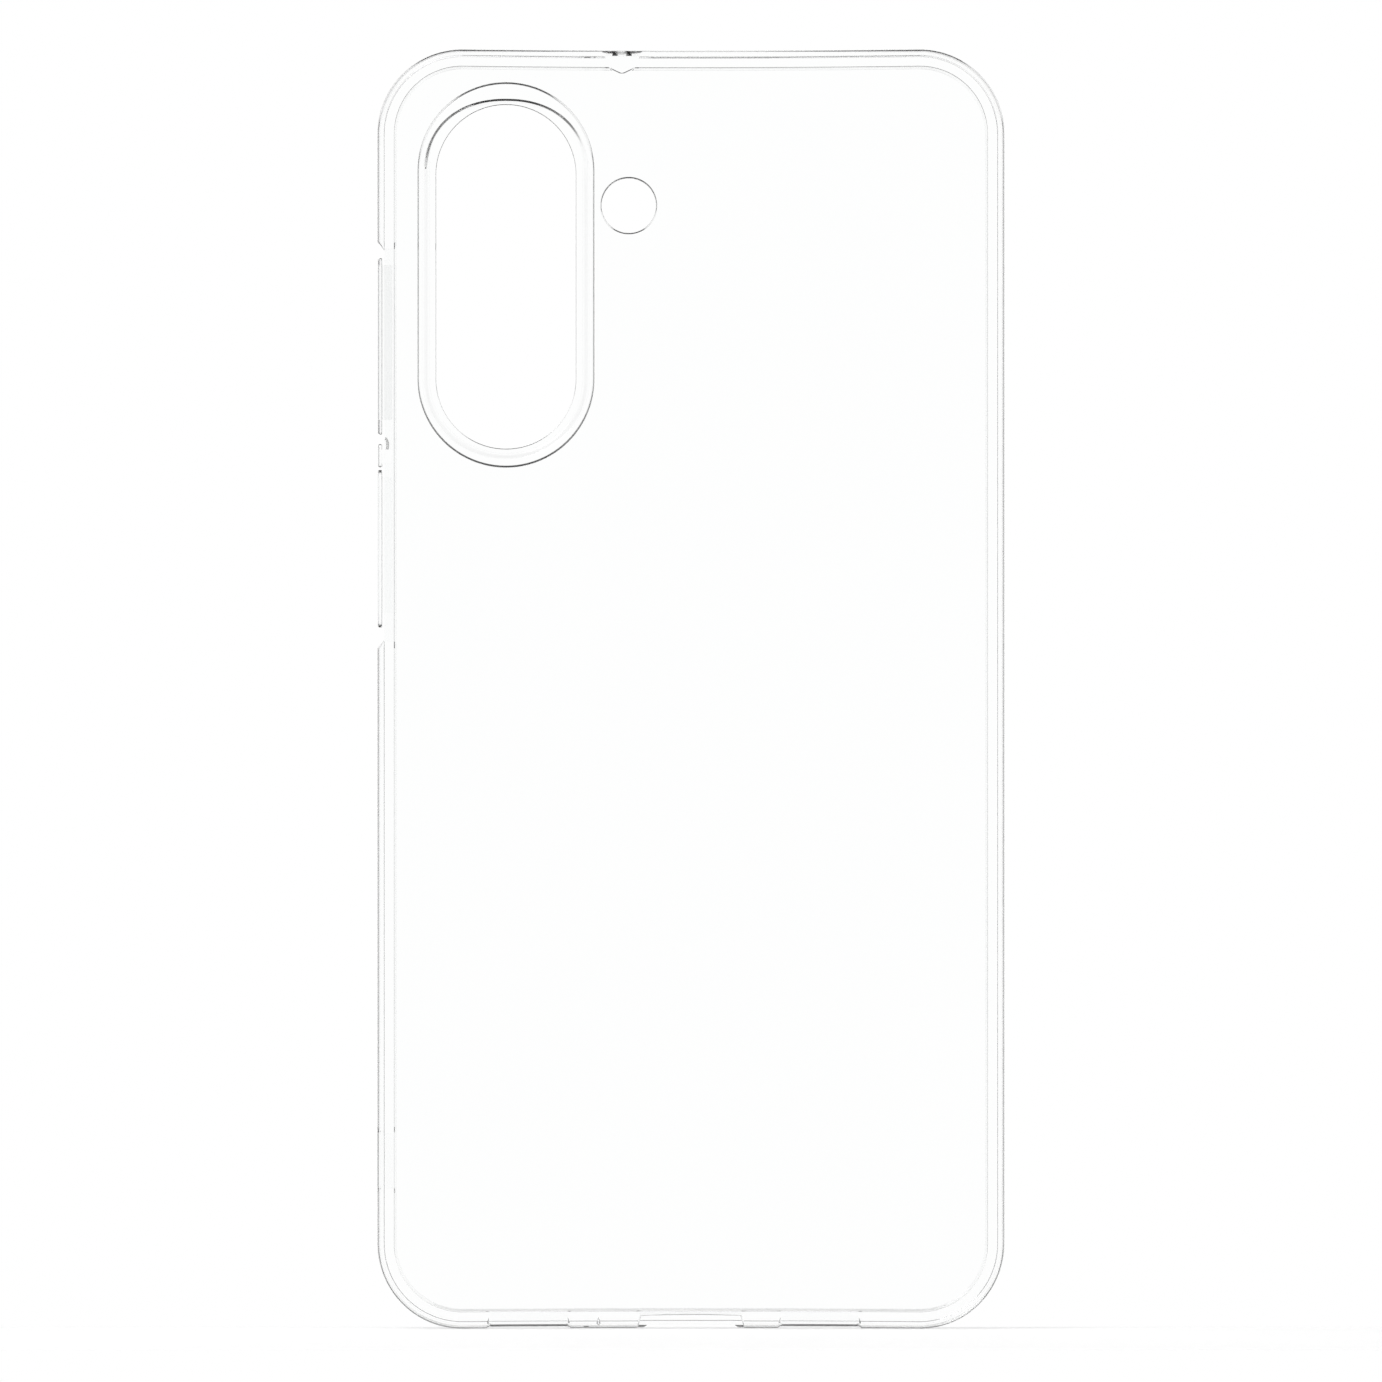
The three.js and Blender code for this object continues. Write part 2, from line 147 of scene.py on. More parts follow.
# Cutters run past the faces that they cut by OVER, and through the wall to THROUGH.
OVER = 1 * MM
THROUGH = WALL + 0.4 * MM

# How much wider the strap and plug openings are at the outline.
FLARE = 0.65 * MM

# The keys stand in a recess whose floor is flat.
KEY_RECESS = 0.75 * MM
KEY_RECESS_FLOOR = 0.9 * MM
KEY_RECESS_MARGIN = 0.1 * MM

# The two bottom slots lie in a shallower one.
SLOT_RECESS = 0.24 * MM

# At the plug opening a shallow relief crosses the whole depth, and a notch opens the frame's back.
PLUG_RELIEF = 0.42 * MM
PLUG_RELIEF_MARGIN = 0.8 * MM
PLUG_NOTCH = 1.68 * MM
PLUG_NOTCH_ARCH = 0.1 * MM
PLUG_NOTCH_FLARE = 0.5 * MM

# Microphone holes, as (distance inwards, radius) at the top, and a square bore at the bottom.
MIC_Y = BACK_Y + 4.3 * MM
TOP_MIC_X = -8.95 * MM
TOP_MIC_FUNNEL = [(-OVER, 3.9 * MM), (0.62 * MM, 1.3 * MM), (0.9 * MM, 1.3 * MM)]
BOTTOM_MIC_X = -13.6 * MM
BOTTOM_MIC_HALF = 0.32 * MM
BOTTOM_MIC_REACH = 3 * MM

# Small cones inside the bottom wall, at the ends of the slots and beside the microphone hole.
RELIEF_CONE = [(0.5 * MM, 0.3 * MM), (0.95 * MM, 0.22 * MM), (1.45 * MM, 0.03 * MM)]
RELIEF_PLACES = (*SPEAKER_SLOT, *TRAY_SLOT, BOTTOM_MIC_X + 1.6 * MM)

# Places where the outer skin is pressed in: start, end, depth and length of the ramp. Start and
# end are measured from the middle of the side.
LEFT_DENTS = [(KEY_WINDOW[0] - MIDDLE_Z, KEY_WINDOW[1] - MIDDLE_Z, KEY_RECESS, 0.85 * MM)]
BOTTOM_DENTS = [(*SPEAKER_SLOT, SLOT_RECESS, 0.4 * MM), (*TRAY_SLOT, SLOT_RECESS, 0.4 * MM)]

# The top edges are rounded this much less half way along, except around the microphone hole.
TOP_EDGE_LOSS = 0.8
TOP_FULL_EDGE = [(TOP_MIC_X - 2.3 * MM, TOP_MIC_X + 2.3 * MM, 1.0, 0.4 * MM)]

# ---- Fineness of the meshes ----

CORNER_STEPS = 40
EDGE_STEPS = 10
SIDE_STEPS = 12
END_STEPS = 48
NOTCH_STEPS = 16


# ---- Mesh helpers ----

def mesh_object(name, bm):
    bmesh.ops.remove_doubles(bm, verts=bm.verts, dist=1e-7)
    bmesh.ops.recalc_face_normals(bm, faces=bm.faces)
    mesh = bpy.data.meshes.new(name)
    bm.to_mesh(mesh)
    bm.free()
    piece = bpy.data.objects.new(name, mesh)
    bpy.context.scene.collection.objects.link(piece)
    return piece


def loft(name, loops, ring=False):
    """Closed mesh through loops of equal length. A ring joins the last loop to the first."""
    bm = bmesh.new()
    rows = [[bm.verts.new(point) for point in loop] for loop in loops]
    pairs = list(zip(rows, rows[1:]))
    if ring:
        pairs.append((rows[-1], rows[0]))
    for low, high in pairs:
        for i in range(len(low)):
            j = (i + 1) % len(low)
            bm.faces.new((low[i], low[j], high[j], high[i]))
    if not ring:
        bm.faces.new(rows[0][::-1])
        bm.faces.new(rows[-1])
    return mesh_object(name, bm)


def prism(outline, low_y, high_y):
    """Cutter with an outline in X and Z between two heights in Y."""
    return loft("cutter", [[Vector((x, y, z)) for x, z in outline] for y in (low_y, high_y)])


def apply_boolean(piece, others, operation):
    for other in others:
        step = piece.modifiers.new("step", "BOOLEAN")
        step.operation = operation
        step.solver = "EXACT"
        step.object = other
    graph = bpy.context.evaluated_depsgraph_get()
    mesh = bpy.data.meshes.new_from_object(piece.evaluated_get(graph))
    piece.modifiers.clear()
    piece.data = mesh
    for other in others:
        bpy.data.objects.remove(other)
    return piece


def cut(piece, cutters):
    return apply_boolean(piece, cutters, "DIFFERENCE")


def smooth(piece, angle=30):
    mesh = piece.data
    for polygon in mesh.polygons:
        polygon.use_smooth = True
    mesh.set_sharp_from_angle(angle=math.radians(angle))
    normals = piece.modifiers.new("normals", "WEIGHTED_NORMAL")
    normals.keep_sharp = True
    normals.weight = 100
    return piece


# ---- Outlines ----

def arc(centre, radius, start, end, steps):
    """Points on an arc or, with two radii, on an ellipse, angles in degrees."""
    across, along = radius if isinstance(radius, tuple) else (radius, radius)
    angles = [math.radians(start + (end - start) * i / steps) for i in range(steps + 1)]
    return [(centre[0] + across * math.cos(a), centre[1] + along * math.sin(a)) for a in angles]


def circle(centre, radius, count):
    """Closed arc whose first point isn't repeated."""
    return arc(centre, radius, 0, 360 - 360 / count, count - 1)


def stations(half, dents):
    """Places along a straight side where its outline has a point, in rising order."""
    places = {half * (2 * i / SIDE_STEPS - 1) for i in range(1, SIDE_STEPS)}
    for start, end, _, ramp in dents:
        places |= {start - ramp, start, end, end + ramp}
    return sorted(places)


def dent(along, dents):
    """How far the outline is pressed in at a place along a side."""
    depths = [0]
    for start, end, depth, ramp in dents:
        beyond = max(start - along, along - end, 0)
        depths.append(depth * max(0, 1 - beyond / ramp))
    return max(depths)


def bow(x):
    """Share of the full bow at a place along a short side."""
    return max(0, 1 - (x / (HALF_WIDTH - CORNER_RADIUS)) ** 2)


def case_loop(inset, y):
    """Outline of the case moved in by an inset, as a loop at one y."""
    radius = CORNER_RADIUS - inset
    cx, cz = HALF_WIDTH - CORNER_RADIUS, HALF_HEIGHT - CORNER_RADIUS
    pressed = max(0, 1 - inset / LEDGE_INSET)
    rounding = max(0, min(inset, LEDGE_INSET - inset))
    bottom_gain = BOTTOM_EDGE_GAIN * rounding
    corner_gain = CORNER_EDGE_GAIN * rounding
    # Only the rows of the ledge's fillet, which this takes in with a little slack.
    on_fillet = LEDGE_INSET - 1.01 * LEDGE_FILLET < inset < LEDGE_INSET - 0.01 * MM
    draft = TOP_DRAFT if on_fillet else 0

    top = []
    for x in stations(cx, TOP_FULL_EDGE)[::-1]:
        slimmer = TOP_EDGE_LOSS * rounding * (1 - dent(x, TOP_FULL_EDGE))
        top.append((x, cz + radius - (TOP_BOW - slimmer) * bow(x) + draft))
    left = []
    for z in stations(cz, LEFT_DENTS)[::-1]:
        left.append((-cx - radius + pressed * dent(z, LEFT_DENTS), z))
    bottom = []
    for x in stations(cx, BOTTOM_DENTS):
        depth = BOTTOM_BOW * bow(x) + pressed * dent(x, BOTTOM_DENTS)
        bottom.append((x, -cz - radius + bottom_gain + depth))
    right = [(cx + radius, z) for z in stations(cz, [])]

    points = []
    quarters = [(1, 1, top), (-1, 1, left), (-1, -1, bottom), (1, -1, right)]
    for quarter, (sx, sz, side) in enumerate(quarters):
        for x, z in arc((0, 0), 1, 90 * quarter, 90 * quarter + 90, CORNER_STEPS):
            reach = radius - bottom_gain * max(0, -z) ** 2 - corner_gain * abs(2 * x * z)
            reach += draft * max(0, z)
            points.append((sx * cx + reach * x, sz * cz + reach * z))
        points += side
    return [Vector((x, y, MIDDLE_Z + z)) for x, z in points]


def slot_loop(centre_x, centre_z, radius, straight, y):
    """Upright slot with round ends, or a circle where it has no straight part."""
    half = straight / 2
    shares = [i / SIDE_STEPS for i in range(1, SIDE_STEPS)]
    down = [half - straight * t for t in shares] if straight else []
    points = arc((centre_x, centre_z + half), radius, 0, 180, END_STEPS)
    points += [(centre_x - radius, centre_z + z) for z in down]
    points += arc((centre_x, centre_z - half), radius, 180, 360, END_STEPS)
    points += [(centre_x + radius, centre_z + z) for z in down[::-1]]
    return [Vector((x, y, z)) for x, z in points]


def splayed(start, end, reach, splay=FLARE):
    """Corners (inset, along) of an opening that widens by the splay from the reach to the outline."""
    more = splay * (1 + OVER / reach)
    return [(-OVER, start - more), (-OVER, end + more), (reach, end), (reach, start)]


def on_left(corners):
    return [(LEFT_X + inset, along) for inset, along in corners]


def on_bottom(corners):
    return [(along, BOTTOM_Z + inset) for inset, along in corners]


# ---- Bumper frame ----

def frame_section():
    """Closed section of the frame as (inset, y), starting at the bond on the back."""
    ledge_y = FRONT_Y - LEDGE_DROP
    back = arc((BACK_EDGE[0], BACK_Y + BACK_EDGE[1]), BACK_EDGE, -90, -180, EDGE_STEPS)
    front = arc((FRONT_EDGE[0], ledge_y - FRONT_EDGE[1]), FRONT_EDGE, 180, 90, EDGE_STEPS)
    r = LEDGE_FILLET
    ledge = arc((LEDGE_INSET - r, ledge_y + r), r, -90, -30, 5)
    r = LIP_OUTER_RADIUS
    ledge += arc((LEDGE_INSET + r, FRONT_Y - r), r, 180, 90, 4)
    r = LIP_INNER_RADIUS
    lip = arc((LIP_INSET - r, FRONT_Y - r), r, 90, 0, 6)
    lip_y = FRONT_Y - LIP_HEIGHT
    under = [(LIP_INSET, lip_y + LIP_UNDERCUT), (WALL, lip_y)]
    r = FLOOR_FILLET
    floor = arc((WALL + r, FLOOR_Y + r), r, 180, 270, 5)
    bond = [(BOND_INSET, FLOOR_Y), (BOND_INSET, BACK_Y)]
    return back + front + ledge + lip + under + floor + bond


def left_cutters():
    window = prism(on_left(splayed(*KEY_WINDOW, THROUGH, 0)), SIDE_LOW_Y, SIDE_HIGH_Y)
    start, end = KEY_WINDOW
    flat = splayed(start + KEY_RECESS_MARGIN, end - KEY_RECESS_MARGIN, KEY_RECESS_FLOOR, 0)
    recess = prism(on_left(flat), BACK_Y - OVER, FRONT_Y + OVER)
    strap_flare = prism(on_left(splayed(*STRAP_OPENING, LEDGE_INSET)), SIDE_LOW_Y, SIDE_HIGH_Y)
    strap = prism(on_left(splayed(*STRAP_OPENING, THROUGH, 0)), SIDE_LOW_Y, SIDE_HIGH_Y)
    return [window, recess, strap_flare, strap]


def bottom_cutters():
    low, high = BOTTOM_LOW_Y + CURB, BOTTOM_HIGH_Y
    cutters = []
    for slot in (SPEAKER_SLOT, TRAY_SLOT):
        cutters.append(prism(on_bottom(splayed(*slot, THROUGH, 0)), low, high))
    cutters.append(prism(on_bottom(splayed(*PLUG_OPENING, THROUGH)), low, high))
    start, end = PLUG_OPENING
    relief = splayed(start + PLUG_RELIEF_MARGIN, end - PLUG_RELIEF_MARGIN, PLUG_RELIEF)
    cutters.append(prism(on_bottom(relief), BACK_Y, FRONT_Y + OVER))
    cutters.append(plug_notch())
    for x in RELIEF_PLACES:
        cutters.append(funnel((x, BOTTOM_Z), 1, RELIEF_CONE))
    return cutters


def plug_notch():
    """Notch in the back behind the plug, arched along its edge and eased at the back face."""
    eased = [(0.16, -1.0), (0.16, 0.0), (0.09, 0.09), (0.04, 0.24), (0.0, 0.55), (0.0, 6.0)]
    start, end = PLUG_OPENING
    half = (end - start) / 2
    edge = [start + (end - start) * i / NOTCH_STEPS for i in range(NOTCH_STEPS + 1)]
    (out, left), (_, right) = splayed(start, end, PLUG_NOTCH, PLUG_NOTCH_FLARE)[:2]
    loops = []
    for grow, y in eased:
        grow *= MM
        rise = [PLUG_NOTCH + grow + PLUG_NOTCH_ARCH * (1 - (x / half) ** 2) for x in edge]
        outline = [(out, left - grow), (out, right + grow)]
        for inset, x in zip(rise[::-1], edge[::-1]):
            outline.append((inset, x + math.copysign(grow, x)))
        loops.append([Vector((x, BACK_Y + y * MM, z)) for x, z in on_bottom(outline)])
    return loft("cutter", loops)


def funnel(centre, direction, rows):
    """Round cutter along Z through (distance, radius) rows."""
    x, z = centre
    loops = []
    for distance, radius in rows:
        ring = circle((x, MIC_Y), radius, 48)
        loops.append([Vector((px, py, z + direction * distance)) for px, py in ring])
    return loft("cutter", loops)


def mic_cutters():
    half = BOTTOM_MIC_HALF
    bore = splayed(BOTTOM_MIC_X - half, BOTTOM_MIC_X + half, BOTTOM_MIC_REACH, 0)
    bottom = prism(on_bottom(bore), MIC_Y - 2 * half, MIC_Y + 2 * half)
    return [bottom, funnel((TOP_MIC_X, TOP_Z), -1, TOP_MIC_FUNNEL), mic_pocket()]


def mic_pocket():
    """Pocket behind the top hole, from the lip down into the panel, where it ends in a V.

    Corners are (across, inset, share of the growth) and rows (growth, y), both in mm.
    """
    corners = [(2.2, 0.86, 0), (2.2, 1.5, 0), (1.7, 2.32, 0)]
    corners += [(1.2, 2.55, 1), (0.3, 2.98, 1), (0.0, 3.08, 0.5)]
    corners += [(-across, inset, share) for across, inset, share in corners[-2::-1]]
    loops = []
    for grow, y in [(0.0, 0.62), (0.04, 0.85), (0.14, 1.2), (0.14, 11.0)]:
        loop = []
        for across, inset, share in corners:
            deeper = inset + grow * share
            loop.append(Vector((TOP_MIC_X + across * MM, BACK_Y + y * MM, TOP_Z - deeper * MM)))
        loops.append(loop)
    return loft("cutter", loops)


def bumper_frame():
    piece = loft("bumper_frame", [case_loop(inset, y) for inset, y in frame_section()], ring=True)
    cut(piece, left_cutters() + bottom_cutters() + mic_cutters())
    return apply_boolean(piece, key_post(), "UNION")


# ---- Back panel ----

GUARD_X = (guard_lo.x + guard_hi.x) / 2
GUARD_Z = (guard_lo.z + guard_hi.z) / 2
GUARD_RADIUS = 11.5 * MM
GUARD_STRAIGHT = guard_hi.z - guard_lo.z - (guard_hi.x - guard_lo.x)

FLASH_X = -8.06 * MM
FLASH_Z = 145.8 * MM
FLASH_RADIUS = 3.53 * MM
FLASH_BACK_EASE = (0.27 * MM, 0.95 * MM)
FLASH_FRONT_EASE = (0.08 * MM, 0.15 * MM)


def hole_section(radius, back, front):
    """Hole cutter rows (radius, y) through the panel, eased (across, along) at both faces."""
    rows = [(radius + back[0], BACK_Y - OVER)]
    rows += arc((radius + back[0], BACK_Y + back[1]), back, -90, -180, 10)
    rows += arc((radius + front[0], FLOOR_Y - front[1]), front, 180, 90, 6)
    return rows + [(radius + front[0], FLOOR_Y + OVER)]


def back_panel():
    inset = BOND_INSET + BOND_GAP
    panel = loft("clear_back_panel", [case_loop(inset, BACK_Y), case_loop(inset, FLOOR_Y)])
    camera = []
    for y in (BACK_Y - OVER, FLOOR_Y + OVER):
        camera.append(slot_loop(GUARD_X, GUARD_Z, GUARD_RADIUS, GUARD_STRAIGHT, y))
    flash = []
    for radius, y in hole_section(FLASH_RADIUS, FLASH_BACK_EASE, FLASH_FRONT_EASE):
        flash.append(slot_loop(FLASH_X, FLASH_Z, radius, 0, y))
    return cut(panel, [loft("cutter", camera), loft("cutter", flash), mic_pocket()])


# ---- Camera guard ----

CREST_Y = guard_lo.y
GUARD_RIM = (0.42 * MM, 1.1 * MM)
GUARD_INNER_EDGE = (0.14 * MM, 0.5 * MM)

# The opening sits a little lower than the guard's outside, and widens by a hair at the floor.
GUARD_OPENING = 9.05 * MM
OPENING_DROP, OPENING_STRAIGHT = 0.25 * MM, 26.5 * MM
OPENING_EASE = (0.12 * MM, 0.4 * MM)

# The crest ridge is flatter at its ends, squarer and steeper at the top. An end is (rise, power).
RIDGE_RADIUS = 10.38 * MM
RIDGE_TOP = (9.16 * MM, 2.2)
RIDGE_BOTTOM = (10.07 * MM, 2.0)
RIDGE_HALF_WIDTH = 0.6 * MM
RIDGE_DEPTH = 0.64 * MM
RIDGE_STEEPENING = 0.71
RIDGE_STEPS = 10


def ridge_loop(offset, y):
    """Outline of the ridge moved out by an offset, by less where the ridge is steeper."""
    half = GUARD_STRAIGHT / 2
    ends = []
    for side, end, steepening in ((1, RIDGE_TOP, RIDGE_STEEPENING), (-1, RIDGE_BOTTOM, 0)):
        rise, power = end
        points = []
        for across, up in arc((0, 0), 1, 0, 180, END_STEPS):
            up = max(up, 0)
            eased = offset * (1 - steepening * math.sqrt(up))
            x = math.copysign(abs(across) ** (2 / power), across) * (RIDGE_RADIUS + eased)
            z = up ** (2 / power) * (rise + eased) + half
            points.append((side * x, side * z))
        ends.append(points)
    reach = RIDGE_RADIUS + offset
    down = [half * (1 - 2 * i / SIDE_STEPS) for i in range(1, SIDE_STEPS)]
    outline = ends[0] + [(-reach, z) for z in down] + ends[1] + [(reach, z) for z in down[::-1]]
    return [Vector((GUARD_X + x, y, GUARD_Z + z)) for x, z in outline]


def opening_loop(radius, y):
    return slot_loop(GUARD_X, GUARD_Z - OPENING_DROP, radius, OPENING_STRAIGHT, y)


def outside_loop(radius, y):
    return slot_loop(GUARD_X, GUARD_Z, radius, GUARD_STRAIGHT, y)


def camera_guard():
    """Raised ring: up the outside, over the ridge with an S-shaped slope, and down the opening."""
    across, along = OPENING_EASE
    loops = [opening_loop(GUARD_OPENING, FLOOR_Y - along), opening_loop(GUARD_OPENING + across, FLOOR_Y)]
    outer = GUARD_RADIUS - BOND_GAP
    loops.append(outside_loop(outer, FLOOR_Y))
    across, along = GUARD_RIM
    rim = arc((outer - across, CREST_Y + along), GUARD_RIM, 0, -90, 10)
    loops += [outside_loop(radius, y) for radius, y in rim]
    for i in range(RIDGE_STEPS + 1):
        t = i / RIDGE_STEPS
        fall = RIDGE_DEPTH * t * t * (3 - 2 * t)
        loops.append(ridge_loop(RIDGE_HALF_WIDTH * (1 - 2 * t), CREST_Y + fall))
    across, along = GUARD_INNER_EDGE
    inner = arc((GUARD_OPENING + across, CREST_Y + RIDGE_DEPTH + along), GUARD_INNER_EDGE, -90, -180, 8)
    loops += [opening_loop(radius, y) for radius, y in inner]
    return loft("clear_camera_guard", loops, ring=True)


# ---- Key covers and the post between them ----

# Edges are (across X, across Y), corners the radius of the outline.
VOLUME_EDGE, VOLUME_CORNER = (0.28 * MM, 0.7 * MM), 0.35 * MM
POWER_EDGE, POWER_CORNER = (0.2 * MM, 0.2 * MM), 1.2 * MM
INNER_EDGE = (0.09 * MM, 0.25 * MM)
SKIN_START, SKIN_END = 0.06 * MM, 0.51 * MM
END_MARGIN = 0.14 * MM
SMALLEST_CORNER = 0.1 * MM

# The rib starts inside the skin. It stays clear of the skin's sides and of its lower and upper end.
RIB_START, RIB_REACH = 0.5 * MM, 1.9 * MM
RIB_SIDE, RIB_LOWER, RIB_UPPER = 0.9 * MM, 1.9 * MM, 0.9 * MM

# The post's skin as (inset, margin) in mm, and how far it reaches above the CAD's post.
POST_SKIN = [(0.1, 0.16), (0.16, 0.05), (0.28, 0.0), (0.51, 0.0)]
POST_SKIN += [(0.56, 0.04), (0.59, 0.12), (0.6, 0.22)]
POST_CORNER = 0.4 * MM
POST_RISE = 0.6 * MM

# The post's web: insets, shortening at its lower and upper end, and overlap with the rails.
WEB_START, WEB_END = 0.55 * MM, 1.9 * MM
WEB_LOWER, WEB_UPPER = 0.5 * MM, 0.1 * MM
WEB_OVERLAP = 0.05 * MM

# The bent web at the volume key's lower end: where its arc is centred, the arc and the thickness.
HINGE_INSET, HINGE_RISE = 0.93 * MM, 0.6 * MM
HINGE_ARC = (0.4 * MM, 0.85 * MM)
HINGE_HALF_WIDTH = 0.22 * MM


def key_loop(x, low, high, margin, corner):
    """Rounded rectangle across X, a margin inside the key's outline and less than that at its ends."""
    y0, y1 = low.y + margin, high.y - margin
    end_margin = min(margin, END_MARGIN)
    z0, z1 = low.z + end_margin, high.z - end_margin
    r = max(corner - margin, SMALLEST_CORNER)
    points = []
    centres = [(y1 - r, z1 - r), (y0 + r, z1 - r), (y0 + r, z0 + r), (y1 - r, z0 + r)]
    for quarter, centre in enumerate(centres):
        points += arc(centre, r, 90 * quarter, 90 * quarter + 90, 8)
    return [Vector((x, y, z)) for y, z in points]


def key_cover(name, low, high, edge, corner):
    """Skin with a rounded outer edge and eased inner edge, and a rib that meets the phone's key."""
    skin = arc((LEFT_X + SKIN_START + edge[0], edge[1]), edge, 180, 270, 8)
    skin += arc((LEFT_X + SKIN_END, INNER_EDGE[1]), INNER_EDGE, 270, 360, 6)
    cover = loft(name, [key_loop(x, low, high, margin, corner) for x, margin in skin])
    x0, x1 = LEFT_X + RIB_START, LEFT_X + RIB_REACH
    z0, z1 = low.z + RIB_LOWER, high.z - RIB_UPPER
    outline = [(x0, z0), (x0, z1), (x1, z1), (x1, z0)]
    rib = prism(outline, low.y + RIB_SIDE, high.y - RIB_SIDE)
    return apply_boolean(cover, [rib], "UNION")


def key_post():
    """Post between the keys: a skin level with them on a web between the two rails, and the hinge."""
    low = Vector((0, volume_lo.y, post_lo.z))
    high = Vector((0, volume_hi.y, post_hi.z + POST_RISE))
    loops = []
    for inset, margin in POST_SKIN:
        loops.append(key_loop(LEFT_X + inset * MM, low, high, margin * MM, POST_CORNER))
    x0, x1 = LEFT_X + WEB_START, LEFT_X + WEB_END
    z0, z1 = post_lo.z + WEB_LOWER, post_hi.z - WEB_UPPER
    outline = [(x0, z0), (x0, z1), (x1, z1), (x1, z0)]
    web = prism(outline, SIDE_LOW_Y - WEB_OVERLAP, SIDE_HIGH_Y + WEB_OVERLAP)
    return [loft("post_skin", loops), web, hinge(LEFT_X + HINGE_INSET, z1 + HINGE_RISE)]


def hinge(centre_x, centre_z):
    """Bent web of oval section that carries the volume key's lower end."""
    middle_y = (SIDE_LOW_Y + SIDE_HIGH_Y) / 2
    half_y = (SIDE_HIGH_Y - SIDE_LOW_Y) / 2 + WEB_OVERLAP
    loops = []
    for cos, sin in arc((0, 0), 1, -70, 80, 12):
        x, z = centre_x + HINGE_ARC[0] * cos, centre_z + HINGE_ARC[1] * sin
        section = circle((0, 0), (HINGE_HALF_WIDTH, half_y), 24)
        loops.append([Vector((x + out * cos, middle_y + y, z + out * sin)) for out, y in section])
    return loft("hinge", loops)


# ---- Node helpers ----

def fill(nt, made, values):
    """Give a node's inputs, by name or place, a value each or a link from a socket."""
    for key, value in values.items():
        if isinstance(value, bpy.types.NodeSocket):
            nt.links.new(value, made.inputs[key])
        else:
            made.inputs[key].default_value = value


def node(nt, kind, values, **settings):
    """New node with its inputs filled. Gives its first output in use."""
    made = nt.nodes.new("ShaderNode" + kind)
    for name, value in settings.items():
        setattr(made, name, value)
    fill(nt, made, values)
    return next(output for output in made.outputs if output.enabled)


def new_material(name):
    mat = bpy.data.materials.new(name)
    mat.use_nodes = True
    nt = mat.node_tree
    return mat, nt, nt.nodes["Principled BSDF"]


def step_up(nt, value, low, high, top=1.0):
    limits = {"Value": value, "From Min": low, "From Max": high, "To Max": top}
    return node(nt, "MapRange", limits, interpolation_type="SMOOTHSTEP")


# ---- Materials ----

PLASTIC_IOR = 1.5

# Two scales of unevenness, from the flow of the melt and from the mould's surface.
FLOW = {"Scale": 45, "Detail": 2}
GRAIN = {"Scale": 2600, "Detail": 3}
FLOW_HEIGHT = 0.4 * MM
GRAIN_HEIGHT = 0.01 * MM
GRAIN_LIMITS = {"From Min": 0.3, "From Max": 0.7}
TINT_RAMP = 0.1 * MM


def clear_plastic(name, tones, roughness, ripple, grain, tint=None):
    """Colourless plastic whose tone, gloss and surface vary a little over the moulding.

    Ripple and grain are the strengths of the two scales of unevenness. A tint (x, strength)
    makes its colour a little darker beyond that place along X.
    """
    mat, nt, shader = new_material(name)
    place = nt.nodes.new("ShaderNodeTexCoord").outputs["Object"]
    flow = node(nt, "TexNoise", {"Vector": place, **FLOW})
    fine = node(nt, "TexNoise", {"Vector": place, **GRAIN})
    ends = {"A": (*tones[0], 1), "B": (*tones[1], 1)}
    tone = node(nt, "Mix", {"Factor": flow, **ends}, data_type="RGBA")
    if tint:
        start, strength = tint
        x = node(nt, "SeparateXYZ", {0: place})
        limits = {"From Min": start, "From Max": start + TINT_RAMP, "To Max": strength}
        darkening = node(nt, "MapRange", {"Value": x, **limits})
        tone = node(nt, "Mix", {"Factor": darkening, "A": tone, "B": (0, 0, 0, 1)}, data_type="RGBA")
    limits = {**GRAIN_LIMITS, "To Min": roughness[0], "To Max": roughness[1]}
    gloss = node(nt, "MapRange", {"Value": fine, **limits})
    wave = node(nt, "Bump", {"Strength": ripple, "Distance": FLOW_HEIGHT, "Height": flow})
    skin = {"Strength": grain, "Distance": GRAIN_HEIGHT, "Height": fine, "Normal": wave}
    fill(nt, shader, {"IOR": PLASTIC_IOR, "Transmission Weight": 1, "Base Color": tone})
    fill(nt, shader, {"Roughness": gloss, "Normal": node(nt, "Bump", skin)})
    return mat


HARD_TONES = ((0.992, 0.995, 0.994), (0.986, 0.99, 0.989))
SOFT_TONES = ((0.99, 0.992, 0.991), (0.982, 0.986, 0.985))
KEY_TONES = ((0.985, 0.988, 0.987), (0.975, 0.98, 0.979))
KEY_GLOSS = (0.02, 0.06)

# The volume key's rib is coloured a little darker.
RIB_TINT = (LEFT_X + 0.75 * MM, 0.055)

hard = clear_plastic("hard_clear", HARD_TONES, (0.0, 0.01), 0.05, 0.015)
soft = clear_plastic("soft_clear", SOFT_TONES, (0.003, 0.02), 0.05, 0.015)
touch = clear_plastic("key_clear", KEY_TONES, KEY_GLOSS, 0.08, 0.08)
darkened_key = clear_plastic("key_clear_ribbed", KEY_TONES, KEY_GLOSS, 0.08, 0.08, RIB_TINT)

# ---- Pieces ----

bumper = bumper_frame()
panel = back_panel()
guard = camera_guard()
volume_key = key_cover("volume_key", volume_lo, volume_hi, VOLUME_EDGE, VOLUME_CORNER)
power_key = key_cover("power_key", power_lo, power_hi, POWER_EDGE, POWER_CORNER)

shell_nodes = frame["record"]["behaviour"]["bodies"]["case_shell"]
frame_nodes = [name for name in shell_nodes if name not in ("back_panel", "camera_guard")]

